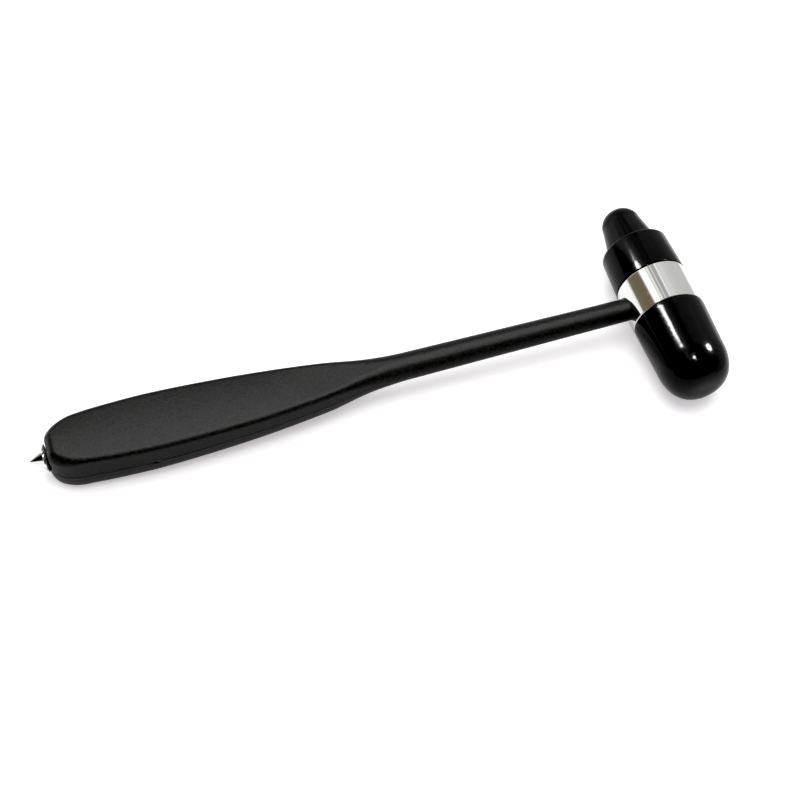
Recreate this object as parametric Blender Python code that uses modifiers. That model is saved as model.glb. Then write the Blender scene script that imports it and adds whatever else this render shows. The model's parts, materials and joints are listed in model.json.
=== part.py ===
"""Reflex hammer with a round-ended mallet, a stepped mallet and a paddle grip.

The hammer lies on its side on z = 0, as it is put down on a table.
+X runs along the handle towards the head.
+Y runs along the head towards the small mallet, -Y towards the large one.

Every piece is modelled in the hammer's own frame, with its origin where the
handle's axis crosses the head's axis.  One empty, hammer_frame, tilts that
frame so that the butt and the head both touch the table.
"""
import math

import bmesh
import bpy

MM = 0.001
GAP = 0.3 * MM                      # clearance between pieces that touch

# Head, measured along Y from the handle's axis
BARREL_RADIUS = 13.1 * MM
BARREL_BORE = 10.6 * MM
BAND_HALF = 8.1 * MM                # where each mallet's rim starts
RIM_RADIUS = 13.2 * MM              # the mallets stand a hair proud of the barrel
BARREL_EDGE = 0.25 * MM             # chamfer on the barrel's ends
RIM_CHAMFER = 0.3 * MM

LARGE_NECK_RADIUS = 12.7 * MM       # where the large mallet's dome starts
LARGE_DOME_START = 27.3 * MM
LARGE_END = 40.5 * MM
LARGE_BLUNTNESS = 0.6               # 1 makes an ellipse, less a blunter dome
LARGE_DOME_POINTS = 10

COLLAR_STEP_RADIUS = 12.5 * MM
COLLAR_END = 24.0 * MM
COLLAR_EDGE = 0.8 * MM
COLLAR_EDGE_POINTS = 3
NOSE_BASE_RADIUS = 9.75 * MM
NOSE_TOP_RADIUS = 7.35 * MM
NOSE_DOME_START = 36.2 * MM
NOSE_DOME_POINTS = 7
SMALL_END = 42.4 * MM

SPIGOT_RADIUS = 8.5 * MM
SPIGOT_GROOVE = 0.5 * MM            # depth of the retaining grooves
SPIGOT_GROOVE_WIDTH = 1.4 * MM
SPIGOT_GROOVE_PITCH = 3.2 * MM
SPIGOT_LAND = 2.5 * MM              # from the spigot's end to its first groove
LARGE_SPIGOT_END = 23.5 * MM
SMALL_SPIGOT_END = 20.5 * MM
SPIGOT_CHAMFER = 1.0 * MM

# Handle, measured along X from the head's axis
SHAFT_RADIUS_HEAD = 3.95 * MM
SHAFT_RADIUS_NECK = 4.85 * MM
SHAFT_SEAT = 8.9 * MM               # the shaft's end, on the core's flat
NECK_START = 96.0 * MM              # the shaft is round up to here
NECK_END = 126.0 * MM               # the paddle has its full edges from here
BUTT_END = 220.6 * MM
BUTT_CORNER = 12.0 * MM             # length of the rounded end, seen from above
BUTT_FLAT = 3.4 * MM                # half width of the flat that seats the tip
BUTT_ROUNDNESS = 1.9                # exponent of the rounded end's curve

# Half widths of the paddle at distances from its butt end
PADDLE_WIDTHS = (
    (12.0 * MM, 10.3 * MM),
    (20.0 * MM, 11.0 * MM),
    (36.0 * MM, 11.7 * MM),
    (58.0 * MM, 11.1 * MM),
    (76.0 * MM, 9.9 * MM),
    (94.0 * MM, 7.9 * MM),
    (110.0 * MM, 5.6 * MM),
    (124.6 * MM, 4.85 * MM),
)
TOP_DEPTH_BUTT = 8.1 * MM           # paddle's top face above the handle's axis
TOP_DEPTH_NECK = 4.5 * MM
UNDER_DEPTH_BUTT = 9.2 * MM         # paddle's underside below the handle's axis
UNDER_DEPTH_NECK = 5.6 * MM
TOP_FILLET = 1.5 * MM
UNDER_FILLET_ACROSS = 1.8 * MM
PARTING_DROP = 0.3                  # parting line, as a share of the underside's depth
SEAM_BAND = 0.1 * MM                # least height of the side wall

# Where the handle's sections lie
BUTT_ANGLES = (0, 8, 16, 25, 35, 46, 58, 73, 90)
PADDLE_STEP = 6.0 * MM
NECK_SECTIONS = 8
SHAFT_SECTIONS = (70.0 * MM, 40.0 * MM, SHAFT_SEAT)
SECTION_POINTS = 6                  # spans from the middle of a face to its edge
OUTLINE_POINTS = 240
SHARP_ANGLE = 35                    # degrees; edges above it are shaded sharp

# Steel rod inside the handle
ROD_RADIUS = 2.2 * MM
ROD_INNER_END = 150.0 * MM
ROD_HEAD_END = 4.0 * MM             # past the head's axis
ROD_CHAMFER = 0.4 * MM
ROD_KEY_RADIUS = 1.8 * MM           # grooves that key the rod into the moulding
ROD_KEY_LENGTH = 3.0 * MM
ROD_KEY_SLOPE = 0.3 * MM
ROD_KEY_COUNT = 3

# Screw-in point at the butt
INSERT_RADIUS = 3.5 * MM
INSERT_LENGTH = 9.0 * MM
INSERT_GROOVE = 0.35 * MM
INSERT_GROOVE_PLACES = (0.25, 0.6)  # shares of the bush's length
INSERT_GROOVE_TOP = 0.8 * MM        # half width at the bush's surface
INSERT_GROOVE_FLOOR = 0.5 * MM      # half width at the groove's floor
SHANK_RADIUS = 2.0 * MM
SHANK_LENGTH = 9.2 * MM
SHANK_CHAMFER = 0.5 * MM
SEAL_OUTER = 4.4 * MM
SEAL_THICKNESS = 0.6 * MM
SEAL_POINTS = 12
TIP_COLLAR_RADIUS = 4.2 * MM
TIP_COLLAR_LENGTH = 0.9 * MM
TIP_COLLAR_CHAMFER = 0.2 * MM
TIP_CONE_RADIUS = 3.9 * MM
TIP_APEX = 226.9 * MM
TIP_APEX_RADIUS = 0.12 * MM

# How the hammer lies
REST_DISTANCE = 218.8 * MM          # where the butt's underside touches the table

# Faces round each turned piece
BARREL_STEPS = 48
TURNED_STEPS = 40
CORE_STEPS = 32
SMALL_STEPS = 24
ROD_STEPS = 16
MERGE_DISTANCE = 0.01 * MM
CUT_OVERSHOOT = 1.0 * MM            # how far a cutter stands out of its piece


def make_collection(name):
    collection = bpy.data.collections.new(name)
    bpy.context.scene.collection.children.link(collection)
    return collection


def make_material(name, colour, roughness, metallic=0.0):
    material = bpy.data.materials.new(name)
    material.use_nodes = True
    shader = material.node_tree.nodes["Principled BSDF"]
    shader.inputs["Base Color"].default_value = (*colour, 1.0)
    shader.inputs["Roughness"].default_value = roughness
    shader.inputs["Metallic"].default_value = metallic
    material.diffuse_color = (*colour, 1.0)
    return material


def add_object(name, mesh, collection, parent, material=None):
    piece = bpy.data.objects.new(name, mesh)
    collection.objects.link(piece)
    piece.parent = parent
    if material:
        mesh.materials.append(material)
    return piece


def arc(centre_radius, centre_height, across, along, start, end, count):
    """Points of an elliptical arc in a turned outline, angles in degrees."""
    points = []
    for index in range(count + 1):
        angle = math.radians(start + (end - start) * index / count)
        points.append((centre_radius + across * math.cos(angle),
                       centre_height + along * math.sin(angle)))
    return points


def dome(radius, start, end, bluntness, count):
    """Points of a mallet's rounded end, from its tip on the axis to its base."""
    points = [(0.0, end)]
    for index in range(1, count + 1):
        angle = math.pi / 2 * (1.0 - index / count)
        points.append((radius * math.cos(angle) ** bluntness,
                       start + (end - start) * math.sin(angle)))
    return points


def turned(name, outline, collection, parent, material, steps=TURNED_STEPS, closed=False):
    """A turned piece about its own Z axis from (radius, height) points.

    The points run from top to bottom on the outer side.  An open outline
    starts and ends on the axis, and a closed one is a ring's section.
    """
    mesh = bpy.data.meshes.new(name)
    vertices = [(radius, 0.0, height) for radius, height in outline]
    edges = [(index, index + 1) for index in range(len(outline) - 1)]
    if closed:
        edges.append((len(outline) - 1, 0))
    mesh.from_pydata(vertices, edges, [])
    piece = add_object(name, mesh, collection, parent, material)
    screw = piece.modifiers.new("Turn", "SCREW")
    screw.axis = "Z"
    screw.angle = math.tau
    screw.steps = steps
    screw.render_steps = steps
    screw.use_merge_vertices = True
    screw.merge_threshold = MERGE_DISTANCE
    screw.use_smooth_shade = True
    return piece


def cut(piece, cutter):
    boolean = piece.modifiers.new(cutter.name, "BOOLEAN")
    boolean.operation = "DIFFERENCE"
    boolean.solver = "EXACT"
    boolean.object = cutter


def bore_cutter(name, radius, start, end, parent, collection, steps=SMALL_STEPS):
    """A cylinder along X that cuts a bore from x = start to x = end."""
    mesh = bpy.data.meshes.new(name)
    shape = bmesh.new()
    bmesh.ops.create_cone(shape, cap_ends=True, segments=steps, radius1=radius,
                          radius2=radius, depth=abs(end - start))
    shape.to_mesh(mesh)
    shape.free()
    cutter = add_object(name, mesh, collection, parent)
    cutter.location = ((start + end) / 2, 0.0, 0.0)
    cutter.rotation_euler = (0.0, math.radians(90), 0.0)
    cutter.hide_render = True
    cutter.display_type = "WIRE"
    return cutter


def smooth_step(value):
    value = min(max(value, 0.0), 1.0)
    return value * value * (3.0 - 2.0 * value)


def curve_value(points, position):
    """Height at a position on the smooth curve through (position, height) points."""
    last = len(points) - 1
    span = 0
    while span < last - 1 and position > points[span + 1][0]:
        span += 1
    slopes = []
    for index in (span, span + 1):
        before = points[max(index - 1, 0)]
        after = points[min(index + 1, last)]
        slopes.append((after[1] - before[1]) / (after[0] - before[0]))
    (x0, y0), (x1, y1) = points[span], points[span + 1]
    width = x1 - x0
    t = (position - x0) / width
    return ((2 * t**3 - 3 * t**2 + 1) * y0 + (t**3 - 2 * t**2 + t) * width * slopes[0]
            + (3 * t**2 - 2 * t**3) * y1 + (t**3 - t**2) * width * slopes[1])


def shaft_radius(distance):
    """Radius of the round shaft at a distance from the head's axis."""
    share = distance / NECK_START
    return SHAFT_RADIUS_HEAD + (SHAFT_RADIUS_NECK - SHAFT_RADIUS_HEAD) * share


def half_width(distance):
    """Half width of the handle, seen from above."""
    from_butt = BUTT_END - distance
    if distance <= NECK_START:
        return shaft_radius(distance)
    if from_butt >= BUTT_CORNER:
        return curve_value(PADDLE_WIDTHS, from_butt)
    share = 1.0 - from_butt / BUTT_CORNER
    bulge = (1.0 - share**BUTT_ROUNDNESS) ** (1.0 / BUTT_ROUNDNESS)
    return BUTT_FLAT + (PADDLE_WIDTHS[0][1] - BUTT_FLAT) * bulge


def handle_stations():
    """Distances from the head's axis of the handle's sections, butt first."""
    stations = [BUTT_END - BUTT_CORNER * (1.0 - math.cos(math.radians(angle)))
                for angle in BUTT_ANGLES]
    paddle_count = int((stations[-1] - NECK_END) / PADDLE_STEP)
    stations += [NECK_END + PADDLE_STEP * step for step in range(paddle_count, -1, -1)]
    neck_step = (NECK_END - NECK_START) / NECK_SECTIONS
    stations += [NECK_END - neck_step * step for step in range(1, NECK_SECTIONS + 1)]
    return stations + list(SHAFT_SECTIONS)


def plan_outline():
    """The handle's half outline seen from above, from the butt's centre on."""
    points = [(BUTT_END, 0.0)]
    for index in range(OUTLINE_POINTS + 1):
        from_butt = (BUTT_END - SHAFT_SEAT) * (index / OUTLINE_POINTS) ** 2
        points.append((BUTT_END - from_butt, half_width(BUTT_END - from_butt)))
    return points


def edge_distance(outline, distance, across):
    """Shortest way from a point inside the plan outline to the outline."""
    best = None
    for (x0, y0), (x1, y1) in zip(outline, outline[1:]):
        run_x, run_y = x1 - x0, y1 - y0
        length = run_x**2 + run_y**2
        share = 0.0
        if length > 0.0:
            share = ((distance - x0) * run_x + (across - y0) * run_y) / length
            share = min(max(share, 0.0), 1.0)
        away = math.hypot(distance - x0 - share * run_x, across - y0 - share * run_y)
        if best is None or away < best:
            best = away
    return best


def round_over(inset, across, depth):
    """How far a face drops near its edge, for an elliptical fillet."""
    share = 1.0 - min(inset / across, 1.0)
    return depth * (1.0 - math.sqrt(1.0 - share * share))


def handle_section(outline, distance):
    """Ring of (y, z) points: half a section from top centre to bottom centre, then mirrored."""
    width = half_width(distance)
    paddle = smooth_step((distance - NECK_START) / (NECK_END - NECK_START))
    along = (distance - NECK_END) / (BUTT_END - NECK_END)
    radius = shaft_radius(min(distance, NECK_START))
    slope_top = TOP_DEPTH_NECK + (TOP_DEPTH_BUTT - TOP_DEPTH_NECK) * max(along, 0.0)
    slope_under = UNDER_DEPTH_NECK + (UNDER_DEPTH_BUTT - UNDER_DEPTH_NECK) * max(along, 0.0)
    top = radius + (slope_top - radius) * paddle
    under = radius + (slope_under - radius) * paddle
    top_across = radius + (TOP_FILLET - radius) * paddle
    top_fillet = radius + (TOP_FILLET - radius) * paddle
    under_across = radius + (UNDER_FILLET_ACROSS - radius) * paddle
    parting = -PARTING_DROP * under * paddle
    side_top = max(top - top_fillet, parting + SEAM_BAND)
    half = []
    for index in range(SECTION_POINTS + 1):
        across = width * math.sin(math.pi / 2 * index / SECTION_POINTS)
        inset = edge_distance(outline, distance, across)
        half.append((across, top - round_over(inset, top_across, top - side_top)))
    for index in range(SECTION_POINTS, -1, -1):
        across = width * math.sin(math.pi / 2 * index / SECTION_POINTS)
        inset = edge_distance(outline, distance, across)
        half.append((across, -under + round_over(inset, under_across, under + parting)))
    return half + [(-across, height) for across, height in reversed(half[1:-1])]


def make_handle(collection, cutters, frame):
    outline = plan_outline()
    shape = bmesh.new()
    rings = []
    for distance in handle_stations():
        section = handle_section(outline, distance)
        rings.append([shape.verts.new((-distance, across, height)) for across, height in section])
    for ring, following in zip(rings, rings[1:]):
        for index in range(len(ring)):
            onward = (index + 1) % len(ring)
            shape.faces.new((ring[index], ring[onward], following[onward], following[index]))
    shape.faces.new(rings[0])
    shape.faces.new(reversed(rings[-1]))
    bmesh.ops.recalc_face_normals(shape, faces=shape.faces)
    mesh = bpy.data.meshes.new("handle")
    shape.to_mesh(mesh)
    shape.free()
    material = make_material("handle_black", (0.018, 0.018, 0.019), 0.42)
    handle = add_object("handle", mesh, collection, frame, material)
    mesh.shade_smooth()
    mesh.set_sharp_from_angle(angle=math.radians(SHARP_ANGLE))
    rod_bore = bore_cutter("cut_rod_bore", ROD_RADIUS + GAP, -ROD_INNER_END - GAP,
                           -SHAFT_SEAT + CUT_OVERSHOOT, frame, cutters)
    insert_bore = bore_cutter("cut_insert_bore", INSERT_RADIUS + GAP, -BUTT_END - CUT_OVERSHOOT,
                              -BUTT_END + INSERT_LENGTH + GAP, frame, cutters)
    cut(handle, rod_bore)
    cut(handle, insert_bore)


def make_core_rod(collection, frame):
    """Steel rod that stiffens the moulded shaft and screws into the head."""
    outline = [(0.0, ROD_HEAD_END), (ROD_RADIUS - ROD_CHAMFER, ROD_HEAD_END),
               (ROD_RADIUS, ROD_HEAD_END - ROD_CHAMFER)]
    for index in range(ROD_KEY_COUNT):
        top = -ROD_INNER_END + 2 * ROD_KEY_LENGTH * (ROD_KEY_COUNT - index)
        bottom = top - ROD_KEY_LENGTH
        outline += [(ROD_RADIUS, top), (ROD_KEY_RADIUS, top - ROD_KEY_SLOPE),
                    (ROD_KEY_RADIUS, bottom + ROD_KEY_SLOPE), (ROD_RADIUS, bottom)]
    outline += [(ROD_RADIUS, -ROD_INNER_END), (0.0, -ROD_INNER_END)]
    material = make_material("core_steel", (0.42, 0.42, 0.41), 0.35, 1.0)
    rod = turned("core_rod", outline, collection, frame, material, steps=ROD_STEPS)
    rod.rotation_euler = (0.0, math.radians(90), 0.0)


def make_barrel(collection, cutters, frame):
    """Chromed sleeve; the shaft passes through its cross hole."""
    low = -BAND_HALF + GAP
    high = BAND_HALF - GAP
    outline = [(BARREL_BORE, high), (BARREL_RADIUS - BARREL_EDGE, high),
               (BARREL_RADIUS, high - BARREL_EDGE), (BARREL_RADIUS, low + BARREL_EDGE),
               (BARREL_RADIUS - BARREL_EDGE, low), (BARREL_BORE, low)]
    material = make_material("barrel_chrome", (0.78, 0.78, 0.77), 0.1, 1.0)
    barrel = turned("barrel", outline, collection, frame, material, BARREL_STEPS, closed=True)
    barrel.rotation_euler = (math.radians(-90), 0.0, 0.0)
    cross_hole = bore_cutter("cut_cross_hole", shaft_radius(BARREL_RADIUS) + GAP,
                             -BARREL_RADIUS - CUT_OVERSHOOT, -BARREL_BORE / 2, frame, cutters,
                             steps=BARREL_STEPS)
    cut(barrel, cross_hole)


def spigot_side(end, grooves, outward):
    """Outline of one spigot from its end to the shoulder at the barrel."""
    sign = 1.0 if outward else -1.0
    points = [(0.0, sign * end), (SPIGOT_RADIUS - SPIGOT_CHAMFER, sign * end),
              (SPIGOT_RADIUS, sign * (end - SPIGOT_CHAMFER))]
    for index in range(grooves):
        outer = end - SPIGOT_LAND - SPIGOT_GROOVE_PITCH * index
        inner = outer - SPIGOT_GROOVE_WIDTH
        points += [(SPIGOT_RADIUS, sign * outer),
                   (SPIGOT_RADIUS - SPIGOT_GROOVE, sign * (outer - SPIGOT_GROOVE)),
                   (SPIGOT_RADIUS - SPIGOT_GROOVE, sign * (inner + SPIGOT_GROOVE)),
                   (SPIGOT_RADIUS, sign * inner)]
    return points


def make_head_core(collection, cutters, frame):
    """Steel bar inside the sleeve, with a grooved spigot for each mallet."""
    core_radius = BARREL_BORE - GAP
    high = BAND_HALF - GAP
    low = -BAND_HALF + GAP
    outline = spigot_side(SMALL_SPIGOT_END, 2, True)
    outline += [(SPIGOT_RADIUS, high), (core_radius, high), (core_radius, low), (SPIGOT_RADIUS, low)]
    outline += list(reversed(spigot_side(LARGE_SPIGOT_END, 3, False)))
    material = make_material("core_head_steel", (0.45, 0.45, 0.44), 0.32, 1.0)
    core = turned("head_core", outline, collection, frame, material, steps=CORE_STEPS)
    core.rotation_euler = (math.radians(-90), 0.0, 0.0)
    seat = bore_cutter("cut_shaft_seat", shaft_radius(BARREL_RADIUS) + GAP,
                       -BARREL_RADIUS, -SHAFT_SEAT + GAP, frame, cutters, steps=BARREL_STEPS)
    tapped = bore_cutter("cut_tapped_hole", ROD_RADIUS + GAP, -BARREL_RADIUS,
                         ROD_HEAD_END + CUT_OVERSHOOT, frame, cutters)
    cut(core, seat)
    cut(core, tapped)


def make_large_mallet(collection, frame):
    """Rubber cap with a rounded end, pushed over the long spigot."""
    outline = dome(LARGE_NECK_RADIUS, LARGE_DOME_START, LARGE_END, LARGE_BLUNTNESS,
                   LARGE_DOME_POINTS)
    outline += [(RIM_RADIUS, BAND_HALF + RIM_CHAMFER), (RIM_RADIUS - RIM_CHAMFER, BAND_HALF),
                (SPIGOT_RADIUS + GAP, BAND_HALF),
                (SPIGOT_RADIUS + GAP, LARGE_SPIGOT_END + GAP), (0.0, LARGE_SPIGOT_END + GAP)]
    material = make_material("rubber_large", (0.012, 0.012, 0.013), 0.22)
    mallet = turned("large_mallet", outline, collection, frame, material)
    mallet.rotation_euler = (math.radians(90), 0.0, 0.0)


def make_small_mallet(collection, frame):
    """Rubber cap with a collar and a tapered nose, pushed over the short spigot."""
    outline = dome(NOSE_TOP_RADIUS, NOSE_DOME_START, SMALL_END, 1.0, NOSE_DOME_POINTS)
    outline += [(NOSE_BASE_RADIUS, COLLAR_END)]
    outline += arc(COLLAR_STEP_RADIUS - COLLAR_EDGE, COLLAR_END - COLLAR_EDGE,
                   COLLAR_EDGE, COLLAR_EDGE, 90, 0, COLLAR_EDGE_POINTS)
    outline += [(RIM_RADIUS, BAND_HALF + RIM_CHAMFER), (RIM_RADIUS - RIM_CHAMFER, BAND_HALF),
                (SPIGOT_RADIUS + GAP, BAND_HALF),
                (SPIGOT_RADIUS + GAP, SMALL_SPIGOT_END + GAP), (0.0, SMALL_SPIGOT_END + GAP)]
    material = make_material("rubber_small", (0.012, 0.012, 0.013), 0.22)
    mallet = turned("small_mallet", outline, collection, frame, material)
    mallet.rotation_euler = (math.radians(-90), 0.0, 0.0)


def make_tip_insert(collection, frame):
    """Threaded brass bush in the butt that takes the point's shank."""
    bore = SHANK_RADIUS + GAP
    outline = [(bore, 0.0), (INSERT_RADIUS, 0.0)]
    floor = INSERT_RADIUS - INSERT_GROOVE
    for share in INSERT_GROOVE_PLACES:
        middle = -INSERT_LENGTH * share
        outline += [(INSERT_RADIUS, middle + INSERT_GROOVE_TOP), (floor, middle + INSERT_GROOVE_FLOOR),
                    (floor, middle - INSERT_GROOVE_FLOOR), (INSERT_RADIUS, middle - INSERT_GROOVE_TOP)]
    outline += [(INSERT_RADIUS, -INSERT_LENGTH), (bore, -INSERT_LENGTH)]
    material = make_material("insert_brass", (0.62, 0.46, 0.2), 0.3, 1.0)
    insert = turned("tip_insert", outline, collection, frame, material, steps=SMALL_STEPS, closed=True)
    insert.location = (-BUTT_END, 0.0, 0.0)
    insert.rotation_euler = (0.0, math.radians(-90), 0.0)


def make_tip_seal(collection, frame):
    """Flat black ring between the butt and the point's collar."""
    middle = (SEAL_OUTER + SHANK_RADIUS + GAP) / 2
    across = (SEAL_OUTER - SHANK_RADIUS - GAP) / 2
    outline = arc(middle, 0.0, across, SEAL_THICKNESS / 2, 90, -270, SEAL_POINTS)[:-1]
    material = make_material("seal_rubber", (0.015, 0.015, 0.015), 0.4)
    seal = turned("tip_seal", outline, collection, frame, material, steps=SMALL_STEPS, closed=True)
    seal.location = (-BUTT_END - GAP - SEAL_THICKNESS / 2, 0.0, 0.0)
    seal.rotation_euler = (0.0, math.radians(-90), 0.0)


def make_pointed_tip(collection, frame):
    """Steel point with a collar and a threaded shank, screwed into the insert."""
    collar_back = BUTT_END + SEAL_THICKNESS + 2 * GAP
    length = TIP_APEX - collar_back
    outline = [(0.0, length), (TIP_APEX_RADIUS, length), (TIP_CONE_RADIUS, TIP_COLLAR_LENGTH),
               (TIP_COLLAR_RADIUS, TIP_COLLAR_LENGTH - TIP_COLLAR_CHAMFER),
               (TIP_COLLAR_RADIUS, TIP_COLLAR_CHAMFER),
               (TIP_COLLAR_RADIUS - TIP_COLLAR_CHAMFER, 0.0), (SHANK_RADIUS, 0.0),
               (SHANK_RADIUS, SHANK_CHAMFER - SHANK_LENGTH),
               (SHANK_RADIUS - SHANK_CHAMFER, -SHANK_LENGTH), (0.0, -SHANK_LENGTH)]
    material = make_material("tip_chrome", (0.76, 0.76, 0.75), 0.1, 1.0)
    tip = turned("pointed_tip", outline, collection, frame, material, steps=SMALL_STEPS)
    tip.location = (-collar_back, 0.0, 0.0)
    tip.rotation_euler = (0.0, math.radians(-90), 0.0)


def place_frame(frame):
    """Tilt the hammer onto its two resting places, centred over the origin."""
    share = (REST_DISTANCE - NECK_END) / (BUTT_END - NECK_END)
    depth = UNDER_DEPTH_NECK + (UNDER_DEPTH_BUTT - UNDER_DEPTH_NECK) * share
    reach = math.hypot(REST_DISTANCE, depth)
    tilt = math.asin(RIM_RADIUS / reach) - math.atan2(depth, REST_DISTANCE)
    frame.rotation_euler = (0.0, -tilt, 0.0)
    frame.location = ((TIP_APEX * math.cos(tilt) - RIM_RADIUS) / 2,
                      (LARGE_END - SMALL_END) / 2, RIM_RADIUS)


def main():
    for item in list(bpy.data.objects):
        bpy.data.objects.remove(item, do_unlink=True)
    collection = make_collection("reflex_hammer")
    cutters = make_collection("cutters")
    frame = bpy.data.objects.new("hammer_frame", None)
    collection.objects.link(frame)
    place_frame(frame)
    make_handle(collection, cutters, frame)
    make_core_rod(collection, frame)
    make_barrel(collection, cutters, frame)
    make_head_core(collection, cutters, frame)
    make_large_mallet(collection, frame)
    make_small_mallet(collection, frame)
    make_tip_insert(collection, frame)
    make_tip_seal(collection, frame)
    make_pointed_tip(collection, frame)
    bpy.context.view_layer.update()


main()
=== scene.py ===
"""Looks of the reflex hammer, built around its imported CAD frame.

Every piece is modelled in the hammer's own frame.  Its x axis runs along the
handle towards the head, y along the head towards the small mallet, and z out
of the paddle's top face.  Its origin is where the handle's axis crosses the
head's axis.  hammer_matrix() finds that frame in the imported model.
"""
import json
import math

import bmesh
import bpy
import numpy as np
from mathutils import Euler, Matrix, Vector, noise


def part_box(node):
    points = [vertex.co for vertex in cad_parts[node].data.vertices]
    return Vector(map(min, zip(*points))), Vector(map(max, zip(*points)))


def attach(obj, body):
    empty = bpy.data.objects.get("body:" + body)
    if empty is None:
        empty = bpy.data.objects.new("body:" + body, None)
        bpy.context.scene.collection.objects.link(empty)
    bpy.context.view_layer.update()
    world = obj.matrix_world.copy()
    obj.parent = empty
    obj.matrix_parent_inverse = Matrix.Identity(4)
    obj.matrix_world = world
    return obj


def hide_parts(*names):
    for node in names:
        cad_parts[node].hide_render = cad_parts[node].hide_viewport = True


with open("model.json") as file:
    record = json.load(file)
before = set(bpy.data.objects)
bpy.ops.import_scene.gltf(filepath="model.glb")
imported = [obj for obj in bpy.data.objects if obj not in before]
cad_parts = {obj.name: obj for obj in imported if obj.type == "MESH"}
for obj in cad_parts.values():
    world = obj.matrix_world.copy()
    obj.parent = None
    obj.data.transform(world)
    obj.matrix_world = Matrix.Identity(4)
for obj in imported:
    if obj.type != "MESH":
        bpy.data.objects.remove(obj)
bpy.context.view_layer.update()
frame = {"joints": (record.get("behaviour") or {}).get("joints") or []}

MM = 0.001
GAP = 0.3 * MM                      # clearance between pieces, as in the CAD

# Head
BARREL_RADIUS = 13.1 * MM
BARREL_BORE = 10.6 * MM
BAND_HALF = 8.1 * MM                # where each mallet's rim starts
RIM_RADIUS = 13.2 * MM
RIM_SWELL = 0.06 * MM               # the large mallet is this much wider just above its rim
LARGE_NECK_RADIUS = 12.7 * MM
LARGE_DOME_START = 26.9 * MM
LARGE_END = 39.7 * MM
LARGE_BLUNTNESS = 0.6               # power of the round end; 1 is elliptical, less is blunter
COLLAR_STEP_RADIUS = 12.5 * MM
COLLAR_END = 24.0 * MM
NOSE_BASE_RADIUS = 9.75 * MM
NOSE_TOP_RADIUS = 7.35 * MM
NOSE_DOME_START = 36.2 * MM
SMALL_END = 42.8 * MM
SPIGOT_RADIUS = 8.5 * MM
SPIGOT_GROOVE = 0.5 * MM
SPIGOT_GROOVE_WIDTH = 1.4 * MM
SPIGOT_GROOVE_PITCH = 3.2 * MM
SPIGOT_LAND = 2.5 * MM
CAP_SHIFT = 0.3 * MM                # the large mallet sits this far off centre, away from the handle
RIM_FLASH = 0.38 * MM               # longest flash of the large mallet's rim
RIM_ROLL = 0.13 * MM                # how far the large mallet draws in at its rim
RIM_ROLL_RUN = 1.8 * MM             # length over which it does
LARGE_SPIGOT_END = 23.5 * MM
SMALL_SPIGOT_END = 20.5 * MM

# Handle, as distances from the head's axis
SHAFT_RADIUS_HEAD = 3.95 * MM
SHAFT_RADIUS_NECK = 4.85 * MM
SHAFT_SEAT = 8.9 * MM
NECK_START = 96.0 * MM
NECK_END = 126.0 * MM
BUTT_END = 220.9 * MM
BUTT_CORNER = 12.0 * MM
BUTT_FLAT = 3.4 * MM
BUTT_ROUNDNESS = 1.9
PADDLE_WIDTHS = (                   # (distance from the butt's end, half width)
    (12.0 * MM, 10.3 * MM),
    (20.0 * MM, 11.0 * MM),
    (36.0 * MM, 11.7 * MM),
    (58.0 * MM, 11.1 * MM),
    (76.0 * MM, 9.9 * MM),
    (94.0 * MM, 7.9 * MM),
    (110.0 * MM, 5.6 * MM),
    (124.6 * MM, 4.85 * MM),
)
TOP_DEPTH_BUTT = 8.9 * MM
TOP_DEPTH_NECK = 5.2 * MM
TOP_CROWN = 0.5 * MM                # how much lower the top face is at its edges than along its middle
UNDER_DEPTH_BUTT = 9.2 * MM
UNDER_DEPTH_NECK = 5.6 * MM
TOP_FILLET = 2.1 * MM
BUTT_ROUND_IN = 2.9 * MM            # around the butt the top edge rounds over further in,
BUTT_ROUND_DOWN = 4.1 * MM          # and falls away further down,
BUTT_ROUND_SHAPE = 1.5              # from a crisper start
BUTT_RUN = 15.0 * MM                # length over which the butt's edge and draft take over
UNDER_FILLET_BUTT = 2.4 * MM        # how far in from the edge the underside's rounding starts
UNDER_FILLET_NECK = 1.1 * MM
PARTING_DROP = 0.22                 # height of the parting line below the axis, as a share of the depth
WALL_DRAFT = 0.12 * MM              # how far the side leans in above the parting line
BUTT_DRAFT = 0.35 * MM              # the same around the butt
LEAST_DRAFT = 0.01 * MM             # on the round shaft, so that the wall's points stay apart
FLASH_BAND = 0.2 * MM               # width of the parting line's ridge
FLASH_HEIGHT = 0.035 * MM
NICK_PLACE = 187.5 * MM
NICK_REACH = 1.7 * MM               # about half the nick's length
NICK_DEPTH = 0.3 * MM
NICK_WIDENING = 3.5                 # how many times wider than the ridge the nick is

# Rod, bush, washer and point
ROD_RADIUS = 2.2 * MM
ROD_INNER_END = 150.0 * MM
ROD_HEAD_END = 4.0 * MM             # how far past the head's axis the rod reaches
INSERT_RADIUS = 3.5 * MM
INSERT_LENGTH = 9.0 * MM
SHANK_RADIUS = 2.0 * MM
SHANK_LENGTH = 9.2 * MM
THREAD_PITCH = 0.7 * MM
THREAD_DEPTH = 0.38 * MM
SEAL_OUTER = 4.8 * MM
SEAL_THICKNESS = 0.4 * MM
SEAL_GAP = 0.1 * MM                 # clearance on each side of the washer
TIP_COLLAR_RADIUS = 4.2 * MM
TIP_COLLAR_LENGTH = 0.65 * MM
TIP_CONE_RADIUS = 3.9 * MM
TIP_APEX = 226.9 * MM
TIP_APEX_RADIUS = 0.1 * MM


# ---------------------------------------------------------------- outlines

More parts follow.
